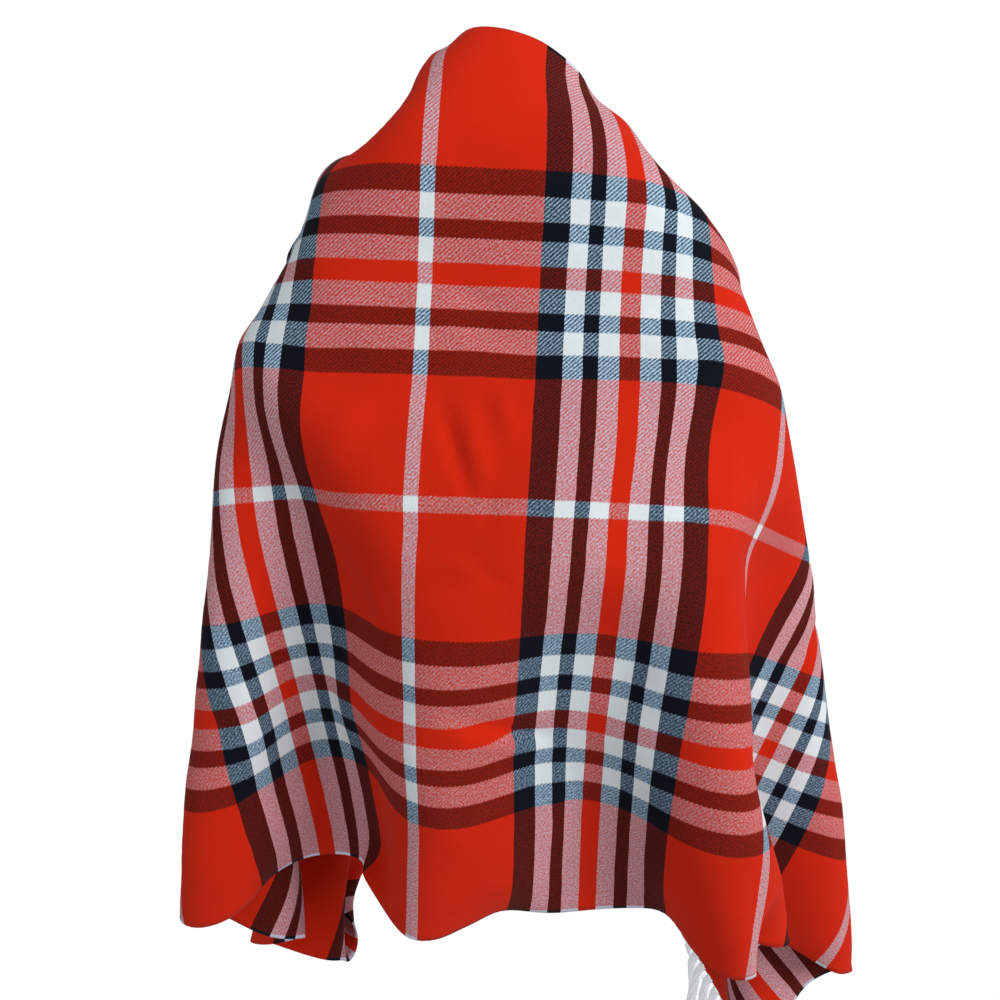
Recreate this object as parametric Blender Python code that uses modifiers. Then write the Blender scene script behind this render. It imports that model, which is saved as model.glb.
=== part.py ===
"""Tartan blanket scarf worn as a shawl, in metres, +Z up.

The wearer faces +Y and their back faces -Y. The origin is the middle of the neck, where the cloth is held
up. The cloth is one rectangle. "along" is measured on its length from the thin white line beside the back's
middle, minus towards the left end; "down" is measured across its width from the neck edge to the hem.

SECTIONS says where the threads that run down the cloth pass the levels of the body. The sheet between them
is eased until its threads have their cut lengths again, as cloth folds but hardly stretches, and is then
given its thickness and split into the stretches that show.
"""
import math

import bmesh
import bpy
import numpy as np

# Cut of the cloth
LEFT_LENGTH = 0.937          # from the first white line to the left short edge
RIGHT_LENGTH = 0.863         # from the first white line to the right short edge
WIDTH = 0.700                # neck edge to hem
CLOTH_THICKNESS = 0.0020
SEAM_GAP = 0.0004            # kept between neighbouring solids

# Where the cloth turns round each arm, and the three stretches part
LEFT_TURN = -0.250
RIGHT_TURN = 0.330

# Fringe on both short edges
FRINGE_LENGTH = 0.070
FRINGE_STRANDS = 54          # on each short edge
STRAND_WIDTH = 0.0056
STRAND_TIP_SHARE = 0.6       # tip's width against the root's
STRAND_SWAY = 0.04           # how far strands swing along the edge, against straight down
STRAND_CORNERS = ((-0.5, -0.5), (-0.5, 0.5), (0.5, 0.5), (0.5, -0.5))    # along the edge, through the wall
HEADING_GAP = 0.0008
HEADING_DEPTH = 0.004        # narrow strip that the strands are rooted in
HEADING_MARGIN = 0.006       # bare edge at both corners
FRINGE_SPLAY = 0.15          # share of a strand's length that leaves square to the edge before it hangs
FRINGE_LEAN = 0.25           # how far strands lean out as they hang, against straight down
FRINGE_LEAN_UPRIGHT = 0.50   # more lean where the edge runs up and down, so that strands lie side by side

# Levels of the body, down the cloth
LEVELS = {"neck": 0.0, "shoulder": 0.12, "blade": 0.24, "elbow": 0.37, "hip": 0.53, "hem": 0.70}

# One row for each section, all in centimetres: place along the cloth, then the point (across, depth, height)
# where that section passes each level.
SECTION_COLUMNS = ("along", "neck", "shoulder", "blade", "elbow", "hip", "hem")
SECTIONS = (
    # left front, lying over the right one; its lower corner is tucked up behind the back
    (-93.7, (30, 8.5, -46), (24, 15, -54.5), (16, 21, -62),
     (6.5, 24.5, -70), (-4, 28.5, -80), (-9, 14.5, -76)),
    (-87, (24.5, 10.5, -43), (18.5, 16.5, -52), (10.5, 22, -60),
     (0.5, 25, -68.5), (-11, 27, -78), (-14.5, 14, -76)),
    (-80, (19, 12, -40), (12.5, 17.5, -48.5), (4.5, 22, -57),
     (-6, 24, -66.5), (-21.5, 21.5, -74), (-21.5, 14, -82)),
    (-72, (14, 13, -36), (8, 18.5, -44.5), (-0.5, 21.5, -53),
     (-10.5, 21.5, -62), (-24, 15.5, -73), (-15, 7, -90.5)),
    (-60, (6.5, 13.5, -28.5), (1.5, 18.5, -37), (-5.5, 20.5, -46.5),
     (-14.5, 19.5, -55.5), (-18, 13, -69), (-25, 4, -82.5)),
    (-51, (0.5, 13.5, -23.5), (-4.5, 18, -32), (-11.5, 17, -42),
     (-19, 14, -52), (-24, 7, -65.5), (-22.5, -2, -78)),
    # round the left arm
    (-42, (-4, 14, -17.5), (-9, 16, -27), (-15.5, 12.5, -37),
     (-23, 8.5, -47), (-23, 1, -60.5), (-18.5, -7, -73)),
    (-37, (-5.5, 14.5, -14.5), (-11, 13.5, -24), (-17, 9.5, -34),
     (-24.5, 5, -43), (-20.5, -2.5, -56.5), (-22.5, -8.5, -70.5)),
    (-30, (-8, 13.5, -10), (-13.5, 9, -19.5), (-19.5, 4.5, -29),
     (-24.5, -0.5, -39.5), (-23, -7, -53), (-27.5, -10.5, -68)),
    (-21, (-11, 10.5, -4.9), (-19.0, 1, -12.6), (-20.5, -3, -20.5),
     (-21.3, -8.5, -33), (-21.5, -12.5, -49.5), (-20.5, -9.5, -65.5)),
    # back
    (-14, (-9.1, 3.7, -3.8), (-14.2, -3.5, -9.5), (-19.6, -8.5, -18.2),
     (-18.5, -12, -32.5), (-16.5, -9.5, -48), (-15, -6.5, -65)),
    (-8, (-7.5, -0.5, -2.5), (-13.1, -8.5, -8.6), (-15, -12, -21),
     (-13, -13, -32.5), (-11.5, -12, -48), (-11.5, -10.5, -63.5)),
    (-3, (-5.5, -4, 0.5), (-8, -10.5, -8), (-8.5, -12.5, -20),
     (-9, -16.5, -32), (-9, -16, -48), (-9, -14.5, -65)),
    (0, (-4, -5.5, 1.5), (-5.5, -10.5, -8.5), (-5.5, -12.5, -20),
     (-6, -17, -32), (-6.5, -18, -48), (-7, -17, -65)),
    (4, (-0.5, -7, 2.5), (-1, -10.5, -8.5), (-1.5, -12.5, -20),
     (-2.5, -17.5, -32), (-2.5, -18.5, -48), (-3.5, -16, -65)),
    (8, (3.5, -5.5, 2), (3, -10.5, -8.5), (2.5, -12.5, -20.5),
     (1.5, -18, -32), (1, -16.5, -48), (0.5, -14, -64.5)),
    (12, (6.5, -3, 0), (7, -10, -8.5), (6.5, -13, -20.5),
     (5.5, -17.5, -32.5), (4.5, -15.5, -48), (4.5, -14, -65)),
    (16, (8.6, -0.5, -2.3), (11, -9.5, -9), (10.5, -13, -20.5),
     (9.5, -17, -32.5), (8.5, -16.5, -48), (8.5, -13.5, -65)),
    (21, (10.1, 2, -4.9), (15.3, -7, -10.2), (16.5, -12.5, -20.5),
     (14, -17, -32.5), (12.5, -18.5, -48), (13.5, -14, -65)),
    # round the right arm
    (25, (11.5, 4.5, -6.6), (18.2, -4, -12.6), (20, -10, -22),
     (17.5, -14.5, -34), (16.5, -19.5, -49), (15.5, -17.5, -66)),
    (29, (12, 7, -8), (20, -1, -14.5), (22, -7, -23),
     (19, -11, -35.5), (18.5, -17, -50), (19.4, -18.9, -66.8)),
    (33, (9.5, 8.5, -10.5), (20.5, 1, -17), (22.5, -4, -25.5),
     (21.5, -8, -37), (18.2, -13.5, -51.5), (19.2, -15.2, -67.5)),
    (41, (4, 9, -16), (13, 7, -23), (20, 2, -31),
     (27, -3.5, -40), (21, -6.5, -55), (23, -11.5, -69.5)),
    (46, (0.5, 9, -20), (10.5, 9, -27), (18.5, 5, -34.5),
     (27, 0.5, -43), (25, -5.5, -57), (21.5, -9.5, -72.5)),
    (51.5, (-2.5, 9.5, -24.5), (7.5, 11, -31), (16.5, 8, -38.5),
     (25, 4, -47), (29.5, -4.5, -59), (24, -5.5, -74.5)),
    # right front, next to the chest
    (58.5, (-6.5, 9.5, -30.5), (3.5, 12.5, -37), (13, 11.5, -44),
     (22.5, 7.5, -52), (29, -0.5, -63), (30, -5.5, -77)),
    (62.5, (-8.5, 10, -34.5), (1.5, 13, -40), (11, 13, -47),
     (20.5, 9.5, -55), (26.5, 1, -65), (33, -4.5, -78.5)),
    (70, (-12, 10, -40.5), (-2.5, 14.5, -46), (7, 16, -52.5),
     (17, 13, -61), (24, 5, -71), (30, -2, -83)),
    (79.6, (-14.5, 9, -50), (-6.5, 13, -56), (3, 17.5, -60.5),
     (12.5, 16, -67), (20.6, 8.5, -79), (23.5, -3, -89.5)),
    (86.3, (-16.5, 7.5, -56.5), (-8.5, 11, -62.5), (0, 16.5, -67),
     (10.5, 17.5, -72.5), (18.6, 13, -84.5), (26.5, 1.5, -94.5)),
)

# Easing of the sheet
GRID_ALONG = 97              # threads of the working grid
GRID_DOWN = 37
EASE_ROUNDS = 500
THREAD_STIFFNESS = 1000.0
DIAGONAL_SHARE = 0.5         # weave gives more on the diagonal than along its threads
BEND_STIFFNESS = 2.0e-6
HOLD = 400.0                 # how firmly the sections hold the sheet while it is eased

# Faces of the finished sheet
CELL_ALONG = 0.022
CELLS_DOWN = 22
EDGE_CELL = 0.0005           # narrow first and last cells, so that walls meet squarely at the seams


def natural_spline(knots, values, where):
    """Smooth curve through values at knots (first axis), read at the places in where."""
    count = len(knots)
    gaps = np.diff(knots)
    flat = values.reshape(count, -1)
    matrix = np.zeros((count, count))
    right = np.zeros_like(flat)
    matrix[0, 0] = 1.0
    matrix[-1, -1] = 1.0
    for i in range(1, count - 1):
        matrix[i, i - 1] = gaps[i - 1]
        matrix[i, i] = 2.0 * (gaps[i - 1] + gaps[i])
        matrix[i, i + 1] = gaps[i]
        right[i] = 6.0 * ((flat[i + 1] - flat[i]) / gaps[i] - (flat[i] - flat[i - 1]) / gaps[i - 1])
    bend = np.linalg.solve(matrix, right)
    cell = np.clip(np.searchsorted(knots, where) - 1, 0, count - 2)
    step = gaps[cell][:, None]
    b = (where - knots[cell])[:, None] / step
    a = 1.0 - b
    curve = a * flat[cell] + b * flat[cell + 1]
    curve += ((a**3 - a) * bend[cell] + (b**3 - b) * bend[cell + 1]) * step**2 / 6.0
    return curve.reshape((len(where),) + values.shape[1:])


def section_points():
    """The table in metres: places along, places down, and the points between."""
    along = np.array([row[0] for row in SECTIONS]) / 100.0
    down = np.array(list(LEVELS.values()))
    points = np.array([row[1:] for row in SECTIONS], dtype=float) / 100.0
    return along, down, points


def grid_weights(along, down):
    """The four grid corners round a place on the cloth, and their shares."""
    a = (along + LEFT_LENGTH) / (LEFT_LENGTH + RIGHT_LENGTH) * (GRID_ALONG - 1)
    d = down / WIDTH * (GRID_DOWN - 1)
    i = int(np.clip(math.floor(a), 0, GRID_ALONG - 2))
    j = int(np.clip(math.floor(d), 0, GRID_DOWN - 2))
    a -= i
    d -= j
    first = i * GRID_DOWN + j
    corners = (first, first + 1, first + GRID_DOWN, first + GRID_DOWN + 1)
    return corners, ((1 - a) * (1 - d), (1 - a) * d, a * (1 - d), a * d)


def thread_pairs():
    """Neighbouring grid points, the cut length between them, and how firmly it is kept."""
    number = np.arange(GRID_ALONG * GRID_DOWN).reshape(GRID_ALONG, GRID_DOWN)
    step_along = (LEFT_LENGTH + RIGHT_LENGTH) / (GRID_ALONG - 1)
    step_down = WIDTH / (GRID_DOWN - 1)
    diagonal = math.hypot(step_along, step_down)
    kinds = (
        (number[:-1, :], number[1:, :], step_along, 1.0),
        (number[:, :-1], number[:, 1:], step_down, 1.0),
        (number[:-1, :-1], number[1:, 1:], diagonal, DIAGONAL_SHARE),
        (number[1:, :-1], number[:-1, 1:], diagonal, DIAGONAL_SHARE),
    )
    starts = np.concatenate([first.ravel() for first, second, length, share in kinds])
    ends = np.concatenate([second.ravel() for first, second, length, share in kinds])
    lengths = np.concatenate([np.full(first.size, length) for first, second, length, share in kinds])
    shares = np.concatenate([np.full(first.size, share) for first, second, length, share in kinds])
    return starts, ends, lengths, shares


def bend_terms():
    """Each run of three grid points in a thread, with the spacing between them."""
    number = np.arange(GRID_ALONG * GRID_DOWN).reshape(GRID_ALONG, GRID_DOWN)
    step_along = (LEFT_LENGTH + RIGHT_LENGTH) / (GRID_ALONG - 1)
    step_down = WIDTH / (GRID_DOWN - 1)
    lengthwise = np.stack([number[:-2].ravel(), number[1:-1].ravel(), number[2:].ravel()], axis=1)
    crosswise = np.stack([number[:, :-2].ravel(), number[:, 1:-1].ravel(), number[:, 2:].ravel()], axis=1)
    return ((lengthwise, step_along), (crosswise, step_down))


def factored(matrix):
    """Block factors of the matrix, whose terms only join points up to two threads apart."""
    cuts = list(range(0, len(matrix), 2 * GRID_DOWN)) + [len(matrix)]
    spans = [slice(start, end) for start, end in zip(cuts[:-1], cuts[1:])]
    factors = []
    for i, span in enumerate(spans):
        block = matrix[span, span]
        carry = None
        if i:
            carry = matrix[span, spans[i - 1]] @ factors[-1][2]
            block = block - carry @ matrix[spans[i - 1], span]
        inverse = np.linalg.inv(block)
        onward = inverse @ matrix[span, spans[i + 1]] if i + 1 < len(spans) else None
        factors.append((span, carry, inverse, onward))
    return factors


def solved(factors, right):
    """The points that the factored matrix turns into the right-hand side."""
    result = np.zeros_like(right)
    before = None
    for span, carry, inverse, onward in factors:
        result[span] = right[span] if carry is None else right[span] - carry @ result[before]
        before = span
    after = None
    for span, carry, inverse, onward in reversed(factors):
        result[span] = inverse @ result[span]
        if after is not None:
            result[span] -= onward @ result[after]
        after = span
    return result


def eased_sheet():
    """Grid of points, GRID_ALONG by GRID_DOWN, through the sections and true to the cut lengths."""
    along, down, points = section_points()
    grid_along = np.linspace(-LEFT_LENGTH, RIGHT_LENGTH, GRID_ALONG)
    grid_down = np.linspace(0.0, WIDTH, GRID_DOWN)
    sheet = natural_spline(along, points, grid_along)
    sheet = natural_spline(down, np.swapaxes(sheet, 0, 1), grid_down)
    sheet = np.swapaxes(sheet, 0, 1).reshape(-1, 3)
    total = len(sheet)

    starts, ends, lengths, shares = thread_pairs()
    weights = THREAD_STIFFNESS * shares
    matrix = np.zeros((total, total))
    np.add.at(matrix, (starts, starts), weights)
    np.add.at(matrix, (ends, ends), weights)
    np.add.at(matrix, (starts, ends), -weights)
    np.add.at(matrix, (ends, starts), -weights)
    for triples, step in bend_terms():
        stencil = np.array([1.0, -2.0, 1.0]) / step**2
        for p in range(3):
            for q in range(3):
                np.add.at(matrix, (triples[:, p], triples[:, q]), BEND_STIFFNESS * stencil[p] * stencil[q])
    held = np.zeros((total, 3))
    for i, place_along in enumerate(along):
        for j, place_down in enumerate(down):
            corners, parts = grid_weights(place_along, place_down)
            for corner, part in zip(corners, parts):
                held[corner] += HOLD * part * points[i, j]
                for other, share in zip(corners, parts):
                    matrix[corner, other] += HOLD * part * share
    factors = factored(matrix)

    for _ in range(EASE_ROUNDS):
        threads = sheet[ends] - sheet[starts]
        size = np.linalg.norm(threads, axis=1)
        threads *= (weights * lengths / size)[:, None]
        pull = held.copy()
        for axis in range(3):
            pull[:, axis] += np.bincount(ends, threads[:, axis], total)
            pull[:, axis] -= np.bincount(starts, threads[:, axis], total)
        eased = solved(factors, pull)
        sheet = eased + 0.6 * (eased - sheet)
    return eased.reshape(GRID_ALONG, GRID_DOWN, 3)


COLOURS = {
    "cloth_red": (0.560, 0.028, 0.018, 1.0),
    "fringe_white": (0.800, 0.780, 0.760, 1.0),
}


def cloth_material(name, roughness):
    material = bpy.data.materials.new(name)
    material.use_nodes = True
    shader = material.node_tree.nodes["Principled BSDF"]
    shader.inputs["Base Color"].default_value = COLOURS[name]
    shader.inputs["Roughness"].default_value = roughness
    shader.inputs["Metallic"].default_value = 0.0
    material.diffuse_color = COLOURS[name]
    return material


def sample(sheet, places_along, places_down):
    """The sheet's points at any places along and down the cloth."""
    grid_along = np.linspace(-LEFT_LENGTH, RIGHT_LENGTH, GRID_ALONG)
    grid_down = np.linspace(0.0, WIDTH, GRID_DOWN)
    rows = natural_spline(grid_along, sheet, np.asarray(places_along))
    columns = natural_spline(grid_down, np.swapaxes(rows, 0, 1), np.asarray(places_down))
    return np.swapaxes(columns, 0, 1)


def add_stretch(name, sheet, start, end, collection, material):
    """One stretch of the cloth: an open grid between two places along it, given its wall by Solidify."""
    count = math.ceil((end - start) / CELL_ALONG)
    places_along = np.linspace(start, end, count + 1)
    ends = ([start, start + EDGE_CELL], [end - EDGE_CELL, end])
    places_along = np.concatenate([ends[0], places_along[1:-1], ends[1]])
    cells = len(places_along) - 1
    places_down = np.linspace(0.0, WIDTH, CELLS_DOWN + 1)
    points = sample(sheet, places_along, places_down).reshape(-1, 3)
    faces = []
    for i in range(cells):
        for j in range(CELLS_DOWN):
            corner = i * (CELLS_DOWN + 1) + j
            faces.append((corner, corner + 1, corner + CELLS_DOWN + 2, corner + CELLS_DOWN + 1))
    mesh = bpy.data.meshes.new(name)
    mesh.from_pydata([tuple(p) for p in points], [], faces)
    mesh.materials.append(material)
    mesh.shade_smooth()
    stretch = bpy.data.objects.new(name, mesh)
    collection.objects.link(stretch)
    wall = stretch.modifiers.new("Wall", "SOLIDIFY")
    wall.thickness = CLOTH_THICKNESS
    wall.offset = 0.0
    wall.use_rim = True
    return stretch


def edge_frames(sheet, along, inward, places_down):
    """At places down a short edge: the point, the way out of the cloth, and the cloth's normal."""
    edge = sample(sheet, [along], places_down)[0]
    inside = sample(sheet, [along + inward * 0.010], places_down)[0]
    before = sample(sheet, [along], np.asarray(places_down) - 0.002)[0]
    after = sample(sheet, [along], np.asarray(places_down) + 0.002)[0]
    run = after - before
    run /= np.linalg.norm(run, axis=1)[:, None]
    out = edge - inside
    out -= run * np.sum(out * run, axis=1)[:, None]
    out /= np.linalg.norm(out, axis=1)[:, None]
    normal = np.cross(run, out)
    return edge, out, normal


def between(knots, values, where):
    """Straight lines between the values at knots, as the edges of the sheet's faces run."""
    return np.stack([np.interp(where, knots, values[:, axis]) for axis in range(3)], axis=1)


def add_fringe(name, sheet, along, inward, collection, material):
    """Fringe of one short edge: a narrow heading strip with a strand drawn out of every other cell."""
    pitch = (WIDTH - 2.0 * HEADING_MARGIN) / FRINGE_STRANDS
    centres = HEADING_MARGIN + pitch * (np.arange(FRINGE_STRANDS) + 0.5)
    stations = [HEADING_MARGIN]
    for centre in centres:
        stations += [centre - STRAND_WIDTH / 2.0, centre + STRAND_WIDTH / 2.0]
    stations.append(WIDTH - HEADING_MARGIN)
    places_down = np.linspace(0.0, WIDTH, CELLS_DOWN + 1)
    corners = edge_frames(sheet, along, inward, places_down)
    edge, out, normal = [between(places_down, values, stations) for values in corners]
    near = edge + out * HEADING_GAP
    far = near + out * HEADING_DEPTH
    half = normal * CLOTH_THICKNESS / 2.0

    model = bmesh.new()
    rings = []
    for i in range(len(stations)):
        corners = (near[i] + half[i], near[i] - half[i], far[i] - half[i], far[i] + half[i])
        rings.append([model.verts.new(corner) for corner in corners])
    roots = []
    for i in range(len(stations) - 1):
        for side in range(4):
            following = (side + 1) % 4
            quad = (rings[i][side], rings[i][following], rings[i + 1][following], rings[i + 1][side])
            face = model.faces.new(quad)
            if side == 2 and i % 2 == 1:
                roots.append((i, face))
    model.faces.new(rings[0])
    model.faces.new(rings[-1])

    down = np.array((0.0, 0.0, -1.0))
    for number, (i, face) in enumerate(roots):
        leave = (out[i] + out[i + 1]) / 2.0
        leave /= np.linalg.norm(leave)
        side_step = (far[i + 1] - far[i]) / np.linalg.norm(far[i + 1] - far[i])
        middle = (far[i] + far[i + 1]) / 2.0
        lean = FRINGE_LEAN + FRINGE_LEAN_UPRIGHT * side_step[2]**4
        hang = down + lean * leave + STRAND_SWAY * math.sin(2.4 * number) * side_step
        hang /= np.linalg.norm(hang)
        turn = (leave + hang) / np.linalg.norm(leave + hang)
        bend_at = middle + leave * FRINGE_LENGTH * FRINGE_SPLAY
        tip_at = bend_at + hang * FRINGE_LENGTH * (1.0 - FRINGE_SPLAY)
        across = side_step
        for place, heading, width in ((bend_at, turn, 1.0), (tip_at, hang, STRAND_TIP_SHARE)):
            face = bmesh.ops.extrude_discrete_faces(model, faces=[face])["faces"][0]
            across = across - heading * (across @ heading)
            across /= np.linalg.norm(across)
            thick = np.cross(across, heading)
            for corner, (sideways, through) in zip(face.verts, STRAND_CORNERS):
                corner.co = (place + across * sideways * STRAND_WIDTH * width
                             + thick * through * CLOTH_THICKNESS * width)
    bmesh.ops.recalc_face_normals(model, faces=model.faces)
    if model.calc_volume(signed=True) < 0.0:
        bmesh.ops.reverse_faces(model, faces=model.faces)
    mesh = bpy.data.meshes.new(name)
    model.to_mesh(mesh)
    model.free()
    mesh.materials.append(material)
    fringe = bpy.data.objects.new(name, mesh)
    collection.objects.link(fringe)
    return fringe


def build():
    for old in list(bpy.data.objects):
        bpy.data.objects.remove(old, do_unlink=True)
    collection = bpy.data.collections.new("tartan_blanket_scarf")
    bpy.context.scene.collection.children.link(collection)
    red = cloth_material("cloth_red", 0.85)
    white = cloth_material("fringe_white", 0.90)

    sheet = eased_sheet()
    half_gap = SEAM_GAP / 2.0
    add_stretch("left_stretch", sheet, -LEFT_LENGTH, LEFT_TURN - half_gap, collection, red)
    add_stretch("back_stretch", sheet, LEFT_TURN + half_gap, RIGHT_TURN - half_gap, collection, red)
    add_stretch("right_stretch", sheet, RIGHT_TURN + half_gap, RIGHT_LENGTH, collection, red)
    add_fringe("left_fringe", sheet, -LEFT_LENGTH, 1.0, collection, white)
    add_fringe("right_fringe", sheet, RIGHT_LENGTH, -1.0, collection, white)


build()
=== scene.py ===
"""Looks of the tartan blanket scarf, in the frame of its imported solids, in metres, +Z up.

The wearer faces +Y, so what the camera sees is their back. "along" is measured on the cloth's length from
the thin white line beside the back's middle, "down" across its width from the neck edge to the hem.
"""
import math

import bpy
import numpy as np
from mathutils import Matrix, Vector


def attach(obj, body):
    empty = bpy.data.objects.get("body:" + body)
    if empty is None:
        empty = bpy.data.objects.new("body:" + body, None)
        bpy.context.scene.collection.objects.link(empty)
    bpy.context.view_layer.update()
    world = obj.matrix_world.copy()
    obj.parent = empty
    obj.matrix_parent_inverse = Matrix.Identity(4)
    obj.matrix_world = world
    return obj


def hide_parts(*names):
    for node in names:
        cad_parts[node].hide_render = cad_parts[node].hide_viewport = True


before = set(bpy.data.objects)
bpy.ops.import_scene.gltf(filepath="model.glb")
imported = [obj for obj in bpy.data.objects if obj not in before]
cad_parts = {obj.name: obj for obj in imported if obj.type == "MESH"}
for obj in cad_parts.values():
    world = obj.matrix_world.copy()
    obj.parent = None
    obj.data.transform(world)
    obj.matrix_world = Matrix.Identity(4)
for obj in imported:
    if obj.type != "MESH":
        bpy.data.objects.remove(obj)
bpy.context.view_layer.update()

# ---------------------------------------------------------------- cut of the cloth
LEFT_LENGTH = 0.937
RIGHT_LENGTH = 0.863
WIDTH = 0.700
# places down the cloth
LEVELS = {"neck": 0.0, "shoulder": 0.12, "blade": 0.24, "elbow": 0.37, "hip": 0.53, "hem": 0.70}

# One row for each section, all in centimetres: place along the cloth, then the point (across, depth,
# height) where that section passes each level.
SECTIONS = (
    # left front, lying over the right one; its lower corner is tucked up behind the back
    (-93.7, (30, 8.5, -46), (24, 15, -54.5), (16, 21, -62),
     (6.5, 24.5, -70), (-4, 28.5, -80), (-9, 14.5, -76)),
    (-87, (24.5, 10.5, -43), (18.5, 16.5, -52), (10.5, 22, -60),
     (0.5, 25, -68.5), (-11, 27, -78), (-14.5, 14, -76)),
    (-80, (19, 12, -40), (12.5, 17.5, -48.5), (4.5, 22, -57),
     (-6, 24, -66.5), (-21.5, 21.5, -74), (-21.5, 14, -82)),
    (-72, (14, 13, -36), (8, 18.5, -44.5), (-0.5, 21.5, -53),
     (-10.5, 21.5, -62), (-24, 15.5, -73), (-15, 7, -90.5)),
    (-60, (6.5, 13.5, -28.5), (1.5, 18.5, -37), (-5.5, 20.5, -46.5),
     (-14.5, 19.5, -55.5), (-18, 13, -69), (-25, 4, -82.5)),
    (-51, (0.5, 13.5, -23.5), (-4.5, 18, -32), (-11.5, 17, -42),
     (-19, 14, -52), (-24, 7, -65.5), (-22.5, -2, -78)),
    # round the left arm
    (-42, (-4, 14, -17.5), (-9, 16, -27), (-15.5, 12.5, -37),
     (-23, 8.5, -47), (-23, 1, -60.5), (-18.5, -7, -73)),
    (-37, (-5.5, 14.5, -14.5), (-11, 13.5, -24), (-17, 9.5, -34),
     (-24.5, 5, -43), (-20.5, -2.5, -56.5), (-22.5, -8.5, -70.5)),
    (-30, (-8, 13.5, -10), (-13.5, 9, -19.5), (-19.5, 4.5, -29),
     (-24.5, -0.5, -39.5), (-23, -7, -53), (-27.5, -10.5, -68)),
    (-21, (-11, 10.5, -4.9), (-19.0, 1, -12.6), (-20.5, -3, -20.5),
     (-21.3, -8.5, -33), (-21.5, -12.5, -49.5), (-20.5, -9.5, -65.5)),
    # back
    (-14, (-9.1, 3.7, -3.8), (-14.2, -3.5, -9.5), (-19.6, -8.5, -18.2),
     (-18.5, -12, -32.5), (-16.5, -9.5, -48), (-15, -6.5, -65)),
    (-8, (-7.5, -0.5, -2.5), (-13.1, -8.5, -8.6), (-15, -12, -21),
     (-13, -13, -32.5), (-11.5, -12, -48), (-11.5, -10.5, -63.5)),
    (-3, (-5.5, -4, 0.5), (-8, -10.5, -8), (-8.5, -12.5, -20),
     (-9, -16.5, -32), (-9, -16, -48), (-9, -14.5, -65)),
    (0, (-4, -5.5, 1.5), (-5.5, -10.5, -8.5), (-5.5, -12.5, -20),
     (-6, -17, -32), (-6.5, -18, -48), (-7, -17, -65)),
    (4, (-0.5, -7, 2.5), (-1, -10.5, -8.5), (-1.5, -12.5, -20),
     (-2.5, -17.5, -32), (-2.5, -18.5, -48), (-3.5, -16, -65)),
    (8, (3.5, -5.5, 2), (3, -10.5, -8.5), (2.5, -12.5, -20.5),
     (1.5, -18, -32), (1, -16.5, -48), (0.5, -14, -64.5)),
    (12, (6.5, -3, 0), (7, -10, -8.5), (6.5, -13, -20.5),
     (5.5, -17.5, -32.5), (4.5, -15.5, -48), (4.5, -14, -65)),
    (16, (8.6, -0.5, -2.3), (11, -9.5, -9), (10.5, -13, -20.5),
     (9.5, -17, -32.5), (8.5, -16.5, -48), (8.5, -13.5, -65)),
    (21, (10.1, 2, -4.9), (15.3, -7, -10.2), (16.5, -12.5, -20.5),
     (14, -17, -32.5), (12.5, -18.5, -48), (13.5, -14, -65)),
    # round the right arm
    (25, (11.5, 4.5, -6.6), (18.2, -4, -12.6), (20, -10, -22),
     (17.5, -14.5, -34), (16.5, -19.5, -49), (15.5, -17.5, -66)),
    (29, (12, 7, -8), (20, -1, -14.5), (22, -7, -23),
     (19, -11, -35.5), (18.5, -17, -50), (19.4, -18.9, -66.8)),
    (33, (9.5, 8.5, -10.5), (20.5, 1, -17), (22.5, -4, -25.5),
     (21.5, -8, -37), (18.2, -13.5, -51.5), (19.2, -15.2, -67.5)),
    (41, (4, 9, -16), (13, 7, -23), (20, 2, -31),
     (27, -3.5, -40), (21, -6.5, -55), (23, -11.5, -69.5)),
    (46, (0.5, 9, -20), (10.5, 9, -27), (18.5, 5, -34.5),
     (27, 0.5, -43), (25, -5.5, -57), (21.5, -9.5, -72.5)),
    (51.5, (-2.5, 9.5, -24.5), (7.5, 11, -31), (16.5, 8, -38.5),
     (25, 4, -47), (29.5, -4.5, -59), (24, -5.5, -74.5)),
    # right front, next to the chest
    (58.5, (-6.5, 9.5, -30.5), (3.5, 12.5, -37), (13, 11.5, -44),
     (22.5, 7.5, -52), (29, -0.5, -63), (30, -5.5, -77)),
    (62.5, (-8.5, 10, -34.5), (1.5, 13, -40), (11, 13, -47),
     (20.5, 9.5, -55), (26.5, 1, -65), (33, -4.5, -78.5)),
    (70, (-12, 10, -40.5), (-2.5, 14.5, -46), (7, 16, -52.5),
     (17, 13, -61), (24, 5, -71), (30, -2, -83)),
    (79.6, (-14.5, 9, -50), (-6.5, 13, -56), (3, 17.5, -60.5),
     (12.5, 16, -67), (20.6, 8.5, -79), (23.5, -3, -89.5)),
    (86.3, (-16.5, 7.5, -56.5), (-8.5, 11, -62.5), (0, 16.5, -67),
     (10.5, 17.5, -72.5), (18.6, 13, -84.5), (26.5, 1.5, -94.5)),
)

# Easing of the sheet
GRID_ALONG = 97
GRID_DOWN = 37
EASE_ROUNDS = 500
THREAD_STIFFNESS = 1000.0    # how firmly threads keep their cut length
DIAGONAL_SHARE = 0.5         # the same for diagonals, as a share
BEND_STIFFNESS = 2.0e-6
HOLD = 400.0                 # how firmly the sections' points are kept
OVERSTEP = 0.6               # share of each round's change that is taken once more

# Mesh of the cloth
CELLS_ALONG = 350
CELLS_DOWN = 138
CLOTH_THICKNESS = 0.0016

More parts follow.
